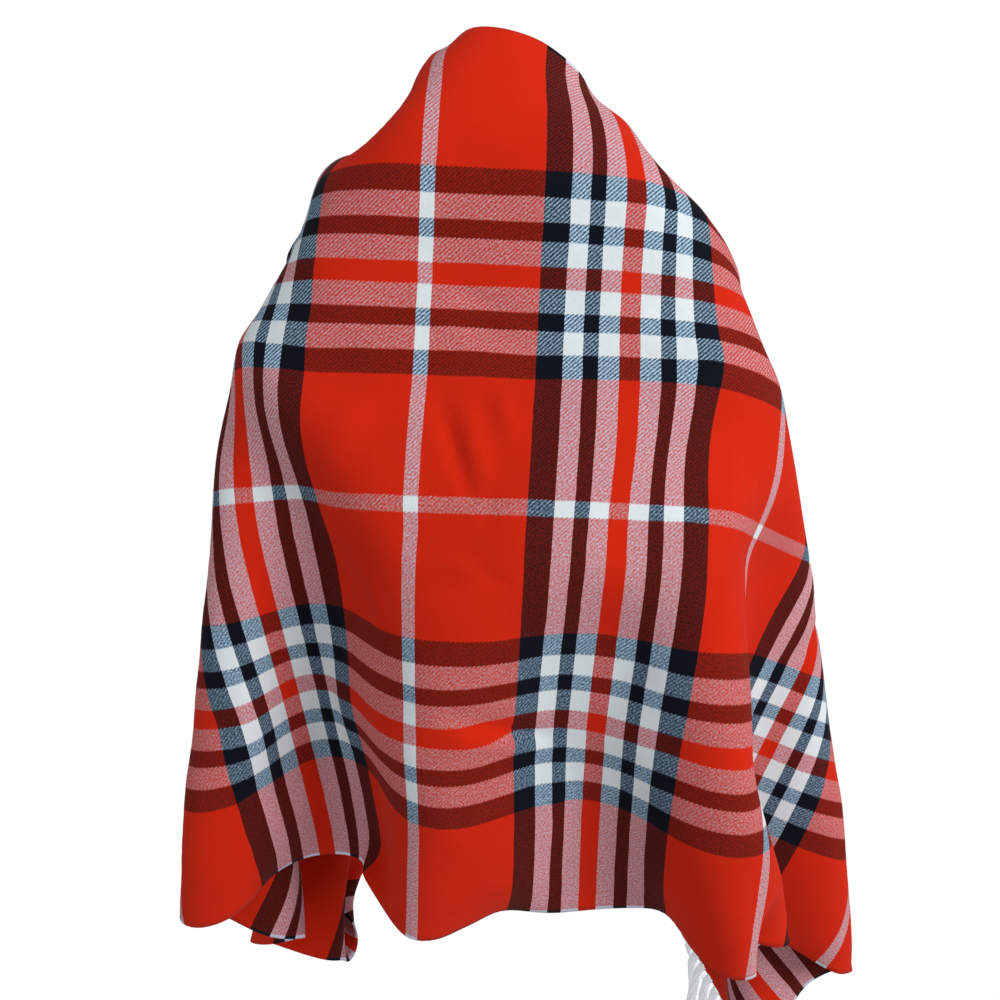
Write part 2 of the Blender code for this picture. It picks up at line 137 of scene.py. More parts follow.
# Check: the repeat along the cloth, and half widths of each stripe of a band from the band's middle
REPEAT_ALONG = 0.2925
LINE_HALF_ALONG = 0.0052
BAND_ALONG = {
    "red": 0.0072, "white": 0.0217, "narrow dark": 0.0324, "outer white": 0.0464, "wide dark": 0.0650,
}
BANDS_DOWN = (0.1811, 0.51885)
LINE_DOWN = 0.3500
LINE_HALF_DOWN = 0.0057
BAND_DOWN = {
    "red": 0.0079, "white": 0.0253, "narrow dark": 0.0385, "outer white": 0.0561, "wide dark": 0.0745,
}
STRIPE_SOFTNESS = 0.00025    # width over which one colour passes into the next
SELVEDGE = 0.0030
SELVEDGE_SOFTNESS = 0.0006

# Weave: the weft runs down the cloth, the warp along it
THREAD = 0.00083             # spacing of the threads
TWILL_REPEAT = 4.0           # threads in one repeat of the twill
TWILL_MIDDLE = 1.5           # middle of the repeat: the weft lies over before it and under after it
WANDER = 0.0012              # width over which threads stray
TOOTH = 0.00034              # how far a stripe's edge steps from thread to thread
WEFT_SHARE = 0.61            # share of the face that the weft covers
TWILL_CONTRAST = 0.46
TWILL_CONTRAST_LOW = 0.16    # the same below the elbows, where the nap is thicker
NAP_FROM = 0.26              # place down the cloth where it starts to thicken
NAP_RISE = 0.12              # and over how much of the width it does
TWILL_PLAIN = 0.72           # share of the contrast in cells where dark and white don't meet
TWILL_SHARP = 0.45           # what their meeting adds
TWILL_LOST_QUIET = 0.5       # share of the contrast lost in dark cells without white
HEATHER = 1.5                # scatter of loose fibres
HEATHER_LOST_QUIET = 0.4     # share of it lost in dark cells without white
MIXED_SHADE = 0.92           # painted shade: cells of two colours are darkened for the shade in the gaps between their threads
PATCHES = 0.10               # unevenness of dye
STREAKS = 0.06               # and of nap
RIDGE = 0.45                 # height of the twill's ridges, as a share of the relief
NAP = 0.8                    # and of the nap over them

# Yarn colours as they look, before the display curve is undone
YARN_RED = (0.825, 0.172, 0.088)
YARN_WHITE = (0.885, 0.925, 0.945)
YARN_DARK = (0.082, 0.100, 0.140)
COOL_CELLS = (0.93, 1.06, 1.16, 1.0)     # cast of cells woven from white and dark
ROSE_CELLS = (1.01, 0.97, 1.05, 1.0)     # and of cells woven from white and red
DISPLAY_CURVE = 2.2          # power that undoes the display curve

# Soft creases: place of the middle along and down the cloth, heading in degrees (0 runs along the cloth, 90
# down it), length, half width and depth; plus stands out on the side away from the wearer
CREASES = (
    # back, as they show
    (0.029, 0.312, 53.0, 0.096, 0.0050, -0.0046),
    (0.041, 0.303, 56.0, 0.080, 0.0062, 0.0034),
    (0.062, 0.285, 58.0, 0.046, 0.0048, 0.0026),
    (0.056, 0.350, 80.0, 0.036, 0.0044, -0.0024),
    (0.037, 0.391, -16.0, 0.044, 0.0046, 0.0022),
    (0.027, 0.408, -38.0, 0.036, 0.0044, -0.0020),
    (0.058, 0.398, 12.0, 0.045, 0.0050, -0.0018),
    (0.072, 0.452, 35.0, 0.030, 0.0050, 0.0018),
    (-0.029, 0.419, 54.0, 0.044, 0.0046, 0.0022),
    (0.048, 0.203, 8.0, 0.080, 0.0046, -0.0028),
    (0.060, 0.212, 10.0, 0.070, 0.0055, 0.0018),
    (0.022, 0.222, 20.0, 0.036, 0.0050, 0.0016),
    (0.160, 0.238, -6.0, 0.050, 0.0048, -0.0022),
    (-0.046, 0.425, 60.0, 0.060, 0.0055, -0.0018),
    (-0.050, 0.300, 100.0, 0.090, 0.0126, 0.0023),
    (0.070, 0.520, 6.0, 0.120, 0.0056, -0.0044),
    (0.075, 0.534, 0.0, 0.100, 0.0062, 0.0032),
    (0.050, 0.503, 4.0, 0.080, 0.0060, -0.0020),
    (-0.096, 0.540, 74.0, 0.100, 0.0099, 0.0030),
    (0.168, 0.470, 96.0, 0.120, 0.0115, -0.0023),
    (0.232, 0.330, 84.0, 0.100, 0.0099, 0.0027),
    (0.115, 0.600, 80.0, 0.110, 0.0110, 0.0027),
    (-0.160, 0.300, 70.0, 0.090, 0.0092, -0.0023),
    (-0.205, 0.610, 100.0, 0.080, 0.0088, -0.0027),
    # over the right arm and across the right front
    (0.395, 0.240, 128.0, 0.110, 0.0099, 0.0030),
    (0.430, 0.420, 110.0, 0.095, 0.0077, -0.0027),
    (0.520, 0.150, 35.0, 0.085, 0.0069, 0.0023),
    (0.560, 0.500, 70.0, 0.120, 0.0110, -0.0030),
    (0.640, 0.280, 150.0, 0.070, 0.0055, -0.0019),
    (0.700, 0.560, 95.0, 0.100, 0.0088, 0.0027),
    (0.770, 0.380, 20.0, 0.060, 0.0055, -0.0015),
    # over the left arm and across the left front
    (-0.320, 0.250, 60.0, 0.100, 0.0088, 0.0027),
    (-0.360, 0.450, 105.0, 0.110, 0.0110, -0.0030),
    (-0.450, 0.180, 140.0, 0.080, 0.0063, -0.0023),
    (-0.510, 0.360, 48.0, 0.075, 0.0055, 0.0019),
    (-0.580, 0.540, 85.0, 0.120, 0.0121, 0.0030),
    (-0.660, 0.260, 160.0, 0.090, 0.0069, -0.0023),
    (-0.730, 0.470, 75.0, 0.090, 0.0077, -0.0027),
    (-0.820, 0.330, 30.0, 0.065, 0.0055, 0.0017),
    (-0.860, 0.150, 118.0, 0.070, 0.0057, -0.0019),
)
CREASE_BOW = 0.10            # how far a crease bows, as a share of its length
CREASE_FADE = 1.5            # power with which it fades towards its ends
RUMPLE = 0.0007              # depth of the small unevenness all over
RUMPLE_WAVES = ((61.0, 23.0, 0.4), (-37.0, 58.0, 1.9), (96.0, -71.0, 3.1))    # along, down, start

# Fringe
FRINGE_LENGTH = 0.070
LENGTH_SPREAD = 0.02         # share by which strands differ in length
FRINGE_STRANDS = 54
HEADING_MARGIN = 0.006       # bare edge beside the first and last strands
ROOT_DEPTH = 0.003           # how far inside the cloth strands start
PROBE_IN = 0.010             # steps into the cloth and beside a root that show which way the edge faces
PROBE_ASIDE = 0.002
FRINGE_LEAN = 0.25           # how far hanging strands lean out from the cloth
FRINGE_LEAN_UPRIGHT = 0.50   # and how much more where the edge is upright
FRINGE_SWAY = 0.04           # how far they lean to either side along the edge
SWAY_STEP = 2.4              # radians from one strand to the next
TURN_SHARE = 0.5             # share of its length over which a strand turns down
TUCKED_DRIFT = 1.20          # strands of the right end that lie behind the back swing under it
TUCKED_TO = 0.605            # place down the cloth where they stop
TUCKED_FADE = 0.03           # width over which they do
TUCKED_SOONER = 0.35         # how much sooner they turn down
YARNS_IN_STRAND = 7
YARN_RADIUS = 0.0021
STRAND_RADIUS = 0.0033
STRAND_CLOSED = 0.75         # share of that radius at the root
STRAND_OPENING = 0.35        # and what it gains down to the tip
STRAND_TWIST = 3.2           # radians
ROOT_FLATNESS = 0.45         # how much flatter a strand is at its root, where it is wider too
FLAT_SHARE = 0.2             # share of its length over which it becomes round
TIP_SHARE = 0.6              # a yarn's radius at its tip, as a share
WAVE = 0.0004                # how far yarns wave aside
WAVE_TURNS = (8.0, 14.0)     # radians from root to tip, from least to most
WAVE_STARTS = (0.0, 6.0)
YARN_STEPS = 14
YARN_SIDES = 5
YARN_PLACES = np.linspace(0.0, 1.0, YARN_STEPS + 1)
PLIES_ROUND = 2.0            # plies that show round a yarn
PLIES_A_METRE = 950.0
PLY_SHARE = 0.55             # share of the plies in the yarn's tone; the rest is loose fibre
# painted shade: colour of the hollows between the plies, darker than their crowns
FRINGE_HOLLOW_SHADE = (0.70, 0.76, 0.81, 1.0)
FRINGE_CROWN = (0.93, 0.96, 0.98, 1.0)

# Light and camera
KEY_PLACE = (2.15, -1.75, 1.15)
FILL_PLACE = (-1.6, -2.0, 0.4)
GLOW = 0.44
CAMERA_PLACE = (0.0, -0.775, -0.151)
CAMERA_TILT = 13.5           # degrees down from level
LENS = 32.4
SENSOR_WIDTH = 36.0


def natural_spline(knots, values, where):
    """Smooth curve through values at knots (first axis), read at the places in where."""
    count = len(knots)
    gaps = np.diff(knots)
    flat = values.reshape(count, -1)
    matrix = np.zeros((count, count))
    right = np.zeros_like(flat)
    matrix[0, 0] = 1.0
    matrix[-1, -1] = 1.0
    for i in range(1, count - 1):
        matrix[i, i - 1] = gaps[i - 1]
        matrix[i, i] = 2.0 * (gaps[i - 1] + gaps[i])
        matrix[i, i + 1] = gaps[i]
        right[i] = 6.0 * ((flat[i + 1] - flat[i]) / gaps[i] - (flat[i] - flat[i - 1]) / gaps[i - 1])
    bend = np.linalg.solve(matrix, right)
    cell = np.clip(np.searchsorted(knots, where) - 1, 0, count - 2)
    step = gaps[cell][:, None]
    b = (where - knots[cell])[:, None] / step
    a = 1.0 - b
    curve = a * flat[cell] + b * flat[cell + 1]
    curve += ((a**3 - a) * bend[cell] + (b**3 - b) * bend[cell + 1]) * step**2 / 6.0
    return curve.reshape((len(where),) + values.shape[1:])


def grid_weights(along, down):
    """The four grid corners round a place on the cloth, and their shares."""
    a = (along + LEFT_LENGTH) / (LEFT_LENGTH + RIGHT_LENGTH) * (GRID_ALONG - 1)
    d = down / WIDTH * (GRID_DOWN - 1)
    i = int(np.clip(math.floor(a), 0, GRID_ALONG - 2))
    j = int(np.clip(math.floor(d), 0, GRID_DOWN - 2))
    a -= i
    d -= j
    first = i * GRID_DOWN + j
    corners = (first, first + 1, first + GRID_DOWN, first + GRID_DOWN + 1)
    return corners, ((1 - a) * (1 - d), (1 - a) * d, a * (1 - d), a * d)


def thread_pairs():
    """Neighbouring grid points, the cut length between them, and how firmly it is kept."""
    number = np.arange(GRID_ALONG * GRID_DOWN).reshape(GRID_ALONG, GRID_DOWN)
    step_along = (LEFT_LENGTH + RIGHT_LENGTH) / (GRID_ALONG - 1)
    step_down = WIDTH / (GRID_DOWN - 1)
    diagonal = math.hypot(step_along, step_down)
    kinds = (
        (number[:-1, :], number[1:, :], step_along, 1.0),
        (number[:, :-1], number[:, 1:], step_down, 1.0),
        (number[:-1, :-1], number[1:, 1:], diagonal, DIAGONAL_SHARE),
        (number[1:, :-1], number[:-1, 1:], diagonal, DIAGONAL_SHARE),
    )
    starts = np.concatenate([first.ravel() for first, second, length, share in kinds])
    ends = np.concatenate([second.ravel() for first, second, length, share in kinds])
    lengths = np.concatenate([np.full(first.size, length) for first, second, length, share in kinds])
    shares = np.concatenate([np.full(first.size, share) for first, second, length, share in kinds])
    return starts, ends, lengths, shares


def bend_terms():
    """Each run of three grid points in a thread, with the spacing between them."""
    number = np.arange(GRID_ALONG * GRID_DOWN).reshape(GRID_ALONG, GRID_DOWN)
    step_along = (LEFT_LENGTH + RIGHT_LENGTH) / (GRID_ALONG - 1)
    step_down = WIDTH / (GRID_DOWN - 1)
    lengthwise = np.stack([number[:-2].ravel(), number[1:-1].ravel(), number[2:].ravel()], axis=1)
    crosswise = np.stack([number[:, :-2].ravel(), number[:, 1:-1].ravel(), number[:, 2:].ravel()], axis=1)
    return ((lengthwise, step_along), (crosswise, step_down))


def factored(matrix):
    """Block factors of the matrix, whose terms only join points up to two threads apart."""
    cuts = list(range(0, len(matrix), 2 * GRID_DOWN)) + [len(matrix)]
    spans = [slice(start, end) for start, end in zip(cuts[:-1], cuts[1:])]
    factors = []
    for i, span in enumerate(spans):
        block = matrix[span, span]
        carry = None
        if i:
            carry = matrix[span, spans[i - 1]] @ factors[-1][2]
            block = block - carry @ matrix[spans[i - 1], span]
        inverse = np.linalg.inv(block)
        onward = inverse @ matrix[span, spans[i + 1]] if i + 1 < len(spans) else None
        factors.append((span, carry, inverse, onward))
    return factors


def solved(factors, right):
    """The points that the factored matrix turns into the right-hand side."""
    result = np.zeros_like(right)
    before = None
    for span, carry, inverse, onward in factors:
        result[span] = right[span] if carry is None else right[span] - carry @ result[before]
        before = span
    after = None
    for span, carry, inverse, onward in reversed(factors):
        result[span] = inverse @ result[span]
        if after is not None:
            result[span] -= onward @ result[after]
        after = span
    return result


def eased_sheet():
    """Grid of points, GRID_ALONG by GRID_DOWN, eased between the sections' points and the cut lengths."""
    along = np.array([row[0] for row in SECTIONS]) / 100.0
    down = np.array(list(LEVELS.values()))
    points = np.array([row[1:] for row in SECTIONS], dtype=float) / 100.0
    grid_along = np.linspace(-LEFT_LENGTH, RIGHT_LENGTH, GRID_ALONG)
    grid_down = np.linspace(0.0, WIDTH, GRID_DOWN)
    sheet = natural_spline(along, points, grid_along)
    sheet = natural_spline(down, np.swapaxes(sheet, 0, 1), grid_down)
    sheet = np.swapaxes(sheet, 0, 1).reshape(-1, 3)
    total = len(sheet)

    starts, ends, lengths, shares = thread_pairs()
    weights = THREAD_STIFFNESS * shares
    matrix = np.zeros((total, total))
    np.add.at(matrix, (starts, starts), weights)
    np.add.at(matrix, (ends, ends), weights)
    np.add.at(matrix, (starts, ends), -weights)
    np.add.at(matrix, (ends, starts), -weights)
    for triples, step in bend_terms():
        stencil = np.array([1.0, -2.0, 1.0]) / step**2
        for p in range(3):
            for q in range(3):
                np.add.at(matrix, (triples[:, p], triples[:, q]), BEND_STIFFNESS * stencil[p] * stencil[q])
    held = np.zeros((total, 3))
    for i, place_along in enumerate(along):
        for j, place_down in enumerate(down):
            corners, parts = grid_weights(place_along, place_down)
            for corner, part in zip(corners, parts):
                held[corner] += HOLD * part * points[i, j]
                for other, share in zip(corners, parts):
                    matrix[corner, other] += HOLD * part * share
    factors = factored(matrix)

    for _ in range(EASE_ROUNDS):
        threads = sheet[ends] - sheet[starts]
        size = np.linalg.norm(threads, axis=1)
        threads *= (weights * lengths / size)[:, None]
        pull = held.copy()
        for axis in range(3):
            pull[:, axis] += np.bincount(ends, threads[:, axis], total)
            pull[:, axis] -= np.bincount(starts, threads[:, axis], total)
        eased = solved(factors, pull)
        sheet = eased + OVERSTEP * (eased - sheet)
    return eased.reshape(GRID_ALONG, GRID_DOWN, 3)


def sample(sheet, places_along, places_down):
    """The sheet's points at any places along and down the cloth."""
    grid_along = np.linspace(-LEFT_LENGTH, RIGHT_LENGTH, GRID_ALONG)
    grid_down = np.linspace(0.0, WIDTH, GRID_DOWN)
    rows = natural_spline(grid_along, sheet, np.asarray(places_along))
    columns = natural_spline(grid_down, np.swapaxes(rows, 0, 1), np.asarray(places_down))
    return np.swapaxes(columns, 0, 1)


# ---------------------------------------------------------------- node helpers
def feed(tree, value, socket):
    """Joins a socket to another, or sets it to a plain value."""
    if isinstance(value, bpy.types.NodeSocket):
        tree.links.new(value, socket)
    else:
        socket.default_value = value


def calc(tree, operation, *values, clamp=False):
    """Result of a sum on sockets and plain values."""
    node = tree.nodes.new("ShaderNodeMath")
    node.operation = operation
    node.use_clamp = clamp
    for value, socket in zip(values, node.inputs):
        feed(tree, value, socket)
    return node.outputs[0]


def mixed(tree, share, first, second, blend="MIX"):
    """The first colour, with a share of the second over it."""
    node = tree.nodes.new("ShaderNodeMix")
    node.data_type = "RGBA"
    node.blend_type = blend
    feed(tree, share, node.inputs[0])
    feed(tree, first, node.inputs[6])
    feed(tree, second, node.inputs[7])
    return node.outputs[2]


def noise(tree, vector, scale, detail, roughness=0.5):
    """Cloudy values round a half."""
    node = tree.nodes.new("ShaderNodeTexNoise")
    node.inputs["Scale"].default_value = scale
    node.inputs["Detail"].default_value = detail
    node.inputs["Roughness"].default_value = roughness
    tree.links.new(vector, node.inputs["Vector"])
    return node.outputs["Fac"]


def swing(tree, value, span):
    """A value round a half, as one round zero with the given span."""
    return calc(tree, "MULTIPLY", calc(tree, "SUBTRACT", value, 0.5), span)


def within(tree, distance, half, soft=STRIPE_SOFTNESS):
    """1 where distance is under half, 0 beyond, over a soft edge."""
    gap = calc(tree, "SUBTRACT", half, distance)
    gap = calc(tree, "DIVIDE", gap, soft)
    return calc(tree, "ADD", gap, 0.5, clamp=True)


def between_halves(tree, distance, inner, outer):
    """1 where distance lies between two half widths."""
    return calc(tree, "SUBTRACT", within(tree, distance, outer), within(tree, distance, inner), clamp=True)


def band_masks(tree, distance, widths):
    """White and dark masks of one band, by distance from the band's middle."""
    inner_white = between_halves(tree, distance, widths["red"], widths["white"])
    outer_white = between_halves(tree, distance, widths["narrow dark"], widths["outer white"])
    narrow_dark = between_halves(tree, distance, widths["white"], widths["narrow dark"])
    wide_dark = between_halves(tree, distance, widths["outer white"], widths["wide dark"])
    white = calc(tree, "ADD", inner_white, outer_white, clamp=True)
    dark = calc(tree, "ADD", narrow_dark, wide_dark, clamp=True)
    return white, dark


def yarn_colour(tree, white, dark):
    """Red yarn, changed for white or dark by the masks."""
    colour = mixed(tree, white, (*YARN_RED, 1.0), (*YARN_WHITE, 1.0))
    return mixed(tree, dark, colour, (*YARN_DARK, 1.0))


def add_relief(tree, shader, height, strength, depth):
    """Lets a shader's surface rise and fall with the height."""
    bump = tree.nodes.new("ShaderNodeBump")
    bump.inputs["Strength"].default_value = strength
    bump.inputs["Distance"].default_value = depth
    tree.links.new(height, bump.inputs["Height"])
    tree.links.new(bump.outputs["Normal"], shader.inputs["Normal"])


# ---------------------------------------------------------------- tartan twill
def weft_stripes(tree, along):
    """White and dark masks of the threads that run down the cloth, by their place along it."""
    phase = calc(tree, "DIVIDE", along, REPEAT_ALONG)
    phase = calc(tree, "SUBTRACT", phase, calc(tree, "FLOOR", phase))
    off_middle = calc(tree, "ABSOLUTE", calc(tree, "SUBTRACT", phase, 0.5))
    from_band = calc(tree, "MULTIPLY", off_middle, REPEAT_ALONG)
    from_line = calc(tree, "SUBTRACT", REPEAT_ALONG / 2.0, from_band)
    white, dark = band_masks(tree, from_band, BAND_ALONG)
    white = calc(tree, "ADD", white, within(tree, from_line, LINE_HALF_ALONG), clamp=True)
    return white, dark


def warp_stripes(tree, down):
    """White and dark masks of the threads that run along the cloth, by their place down it."""
    from_first = calc(tree, "ABSOLUTE", calc(tree, "SUBTRACT", down, BANDS_DOWN[0]))
    from_second = calc(tree, "ABSOLUTE", calc(tree, "SUBTRACT", down, BANDS_DOWN[1]))
    from_line = calc(tree, "ABSOLUTE", calc(tree, "SUBTRACT", down, LINE_DOWN))
    white, dark = band_masks(tree, calc(tree, "MINIMUM", from_first, from_second), BAND_DOWN)
    white = calc(tree, "ADD", white, within(tree, from_line, LINE_HALF_DOWN), clamp=True)
    return white, dark


def twill_turn(tree, along, down):
    """A crossing's place in the twill's repeat, from 0 to 3, one more at each thread either way."""
    thread_along = calc(tree, "FLOOR", calc(tree, "DIVIDE", along, THREAD))
    thread_down = calc(tree, "FLOOR", calc(tree, "DIVIDE", down, THREAD))
    return calc(tree, "FLOORED_MODULO", calc(tree, "ADD", thread_along, thread_down), TWILL_REPEAT)


def weft_share(tree, over, down, heather, quiet, sharp):
    """Share of the weft's colour: high where it lies over, blurred by the fibres of the brushed face."""
    thicker = calc(tree, "DIVIDE", calc(tree, "SUBTRACT", down, NAP_FROM), NAP_RISE, clamp=True)
    contrast = calc(tree, "MULTIPLY_ADD", thicker, TWILL_CONTRAST_LOW - TWILL_CONTRAST, TWILL_CONTRAST)
    contrast = calc(tree, "MULTIPLY", contrast, calc(tree, "MULTIPLY_ADD", quiet, -TWILL_LOST_QUIET, 1.0))
    contrast = calc(tree, "MULTIPLY", contrast, calc(tree, "MULTIPLY_ADD", sharp, TWILL_SHARP, TWILL_PLAIN))
    share = calc(tree, "ADD", swing(tree, over, contrast), WEFT_SHARE)
    return calc(tree, "ADD", share, heather, clamp=True)


def cast(tree, mask, colour, tint):
    """The colour, times a tint where the mask is 1."""
    return mixed(tree, mask, colour, mixed(tree, 1.0, colour, tint, "MULTIPLY"))


def tartan_material():
    material = bpy.data.materials.new("tartan_twill")
    material.use_nodes = True
    tree = material.node_tree
    shader = tree.nodes["Principled BSDF"]

    place = tree.nodes.new("ShaderNodeUVMap")
    place.uv_map = "cloth"
    cut = place.outputs["UV"]
    parts = tree.nodes.new("ShaderNodeSeparateXYZ")
    tree.links.new(cut, parts.inputs[0])
    down = parts.outputs[1]

    # threads wander a little
    wander = swing(tree, noise(tree, cut, scale=45.0, detail=2.0), WANDER)
    along_w = calc(tree, "ADD", parts.outputs[0], wander)
    down_w = calc(tree, "SUBTRACT", down, wander)

    # stripes of both sets of threads; two over, two under, one thread on at each row
    turn = twill_turn(tree, along_w, down_w)
    over = calc(tree, "LESS_THAN", turn, TWILL_MIDDLE)
    tooth = calc(tree, "MULTIPLY", calc(tree, "SUBTRACT", turn, TWILL_MIDDLE), TOOTH)
    toothed = calc(tree, "ADD", down_w, tooth)
    weft_white, weft_dark = weft_stripes(tree, along_w)
    warp_white, warp_dark = warp_stripes(tree, toothed)

    # which yarns meet in a cell
    any_dark = calc(tree, "MAXIMUM", weft_dark, warp_dark)
    any_white = calc(tree, "MAXIMUM", weft_white, warp_white)
    not_red_weft = calc(tree, "ADD", weft_white, weft_dark)
    not_red_warp = calc(tree, "ADD", warp_white, warp_dark)
    any_red = calc(tree, "SUBTRACT", 1.0, calc(tree, "MINIMUM", not_red_weft, not_red_warp), clamp=True)
    quiet = calc(tree, "MULTIPLY", any_dark, calc(tree, "SUBTRACT", 1.0, any_white))
    sharp = calc(tree, "MULTIPLY", any_dark, any_white)

    # fibres of the brushed face blur and scatter the twill; the selvedge shows the weft alone
    heather = swing(tree, noise(tree, cut, scale=620.0, detail=2.0, roughness=0.7), HEATHER)
    heather = calc(tree, "MULTIPLY", heather, calc(tree, "MULTIPLY_ADD", quiet, -HEATHER_LOST_QUIET, 1.0))
    share = weft_share(tree, over, down, heather, quiet, sharp)
    from_edge = calc(tree, "MINIMUM", down, calc(tree, "SUBTRACT", WIDTH, down))
    edge = within(tree, from_edge, SELVEDGE, SELVEDGE_SOFTNESS)
    share = calc(tree, "MAXIMUM", share, edge, clamp=True)
    warp = yarn_colour(tree, warp_white, warp_dark)
    weft = yarn_colour(tree, weft_white, weft_dark)
    colour = mixed(tree, share, warp, weft)

    # painted shade darkens mixed cells, for the gaps between their threads; dye and nap are uneven
    white_differs = calc(tree, "ABSOLUTE", calc(tree, "SUBTRACT", weft_white, warp_white))
    dark_differs = calc(tree, "ABSOLUTE", calc(tree, "SUBTRACT", weft_dark, warp_dark))
    differ = calc(tree, "ADD", white_differs, dark_differs, clamp=True)
    differ = calc(tree, "MULTIPLY", differ, calc(tree, "SUBTRACT", 1.0, edge))
    patches = noise(tree, cut, scale=14.0, detail=4.0, roughness=0.6)
    streaks = noise(tree, cut, scale=240.0, detail=3.0, roughness=0.65)
    shade = calc(tree, "SUBTRACT", 1.0, calc(tree, "MULTIPLY", differ, 1.0 - MIXED_SHADE))
    shade = calc(tree, "ADD", shade, swing(tree, patches, PATCHES))
    shade = calc(tree, "ADD", shade, swing(tree, streaks, STREAKS))
    grey = tree.nodes.new("ShaderNodeCombineXYZ")
    for socket in grey.inputs:
        tree.links.new(shade, socket)
    colour = mixed(tree, 1.0, colour, grey.outputs[0], "MULTIPLY")
    cool = calc(tree, "MULTIPLY", sharp, calc(tree, "SUBTRACT", 1.0, any_red))
    rose = calc(tree, "MULTIPLY", any_white, any_red)
    colour = cast(tree, cool, colour, COOL_CELLS)
    colour = cast(tree, rose, colour, ROSE_CELLS)
    display = tree.nodes.new("ShaderNodeGamma")
    display.inputs["Gamma"].default_value = DISPLAY_CURVE
    tree.links.new(colour, display.inputs["Color"])
    tree.links.new(display.outputs["Color"], shader.inputs["Base Color"])

    # relief: the twill's ridges and the nap over them
    ridge = calc(tree, "MULTIPLY", over, RIDGE)
    nap = calc(tree, "ADD", heather, calc(tree, "MULTIPLY", streaks, NAP))
    add_relief(tree, shader, calc(tree, "ADD", ridge, nap), strength=0.35, depth=0.00035)
    shader.inputs["Roughness"].default_value = 0.92
    shader.inputs["Specular IOR Level"].default_value = 0.06
    shader.inputs["Sheen Weight"].default_value = 0.035
    shader.inputs["Sheen Roughness"].default_value = 0.5
    shader.inputs["Sheen Tint"].default_value = (1.0, 0.75, 0.70, 1.0)
    return material


# ---------------------------------------------------------------- fringe yarn
def fringe_material():
    material = bpy.data.materials.new("fringe_yarn")
    material.use_nodes = True
    tree = material.node_tree
    shader = tree.nodes["Principled BSDF"]
    place = tree.nodes.new("ShaderNodeUVMap")
    place.uv_map = "yarn"
    parts = tree.nodes.new("ShaderNodeSeparateXYZ")
    tree.links.new(place.outputs["UV"], parts.inputs[0])

    # plies wind round the yarn; painted shade darkens the hollows between them
    round_yarn = calc(tree, "MULTIPLY", parts.outputs[0], PLIES_ROUND)
    wind = calc(tree, "MULTIPLY_ADD", parts.outputs[1], PLIES_A_METRE, round_yarn)
    ply = calc(tree, "ABSOLUTE", calc(tree, "SINE", calc(tree, "MULTIPLY", wind, math.pi)))
    fibre = noise(tree, place.outputs["UV"], scale=260.0, detail=3.0, roughness=0.6)
    fibre = calc(tree, "MULTIPLY", fibre, 1.0 - PLY_SHARE)
    tone = calc(tree, "ADD", calc(tree, "MULTIPLY", ply, PLY_SHARE), fibre, clamp=True)
    colour = mixed(tree, tone, FRINGE_HOLLOW_SHADE, FRINGE_CROWN)
    tree.links.new(colour, shader.inputs["Base Color"])
    # painted light: the yarn glows a little with its own colour, standing in for light passed on from
    # strand to strand
    tree.links.new(colour, shader.inputs["Emission Color"])
    shader.inputs["Emission Strength"].default_value = 0.24
    add_relief(tree, shader, tone, strength=0.5, depth=0.0003)
    shader.inputs["Roughness"].default_value = 0.9
    shader.inputs["Specular IOR Level"].default_value = 0.10
    shader.inputs["Sheen Weight"].default_value = 0.10
    shader.inputs["Sheen Roughness"].default_value = 0.5
    return material


# ---------------------------------------------------------------- cloth
def add_mesh(name, vertices, faces, map_name, places, material):
    """A smooth piece whose faces' corners have the given places on the material."""
    mesh = bpy.data.meshes.new(name)
    mesh.from_pydata(vertices, [], faces)
    layer = mesh.uv_layers.new(name=map_name)
    layer.uv.foreach_set("vector", np.array(places, dtype=np.float32).ravel())
    mesh.materials.append(material)
    mesh.shade_smooth()
    piece = bpy.data.objects.new(name, mesh)
    bpy.context.scene.collection.objects.link(piece)
    return piece


def creased(points, along, down):
    """The sheet with its creases and a little unevenness, pushed along its own normal."""
    run = np.gradient(points, axis=0)
    fall = np.gradient(points, axis=1)
    normal = np.cross(run, fall)
    normal /= -np.linalg.norm(normal, axis=2)[:, :, None]
    push = np.zeros_like(along)
    for middle_along, middle_down, heading, length, half_width, depth in CREASES:
        cosine = math.cos(math.radians(heading))
        sine = math.sin(math.radians(heading))
        with_crease = (along - middle_along) * cosine + (down - middle_down) * sine
        bow = CREASE_BOW * length * np.sin(math.pi * with_crease / length)
        off_crease = (down - middle_down) * cosine - (along - middle_along) * sine - bow
        fade = np.clip(1.0 - (2.0 * with_crease / length) ** 2, 0.0, 1.0) ** CREASE_FADE
        push += depth * fade * np.exp(-((off_crease / half_width) ** 2))
    for wave_along, wave_down, start in RUMPLE_WAVES:
        push += RUMPLE / 3.0 * np.sin(wave_along * along + wave_down * down + start)
    return points + normal * push[:, :, None]


def add_cloth(sheet, material):
    """The whole cloth as one fine sheet with a wall."""
    places_along = np.linspace(-LEFT_LENGTH, RIGHT_LENGTH, CELLS_ALONG + 1)
    places_down = np.linspace(0.0, WIDTH, CELLS_DOWN + 1)
    along, down = np.meshgrid(places_along, places_down, indexing="ij")
    points = creased(sample(sheet, places_along, places_down), along, down)
    places = np.stack((along, down), axis=-1).reshape(-1, 2)
    number = np.arange(along.size).reshape(along.shape)
    corners = (number[:-1, :-1], number[:-1, 1:], number[1:, 1:], number[1:, :-1])
    faces = np.stack(corners, axis=-1).reshape(-1, 4)
    vertices = points.reshape(-1, 3).tolist()
    cloth = add_mesh("shawl_cloth", vertices, faces.tolist(), "cloth", places[faces.ravel()], material)
    wall = cloth.modifiers.new("Wall", "SOLIDIFY")
    wall.thickness = CLOTH_THICKNESS
    wall.offset = 0.0
    wall.use_rim = True
    return cloth


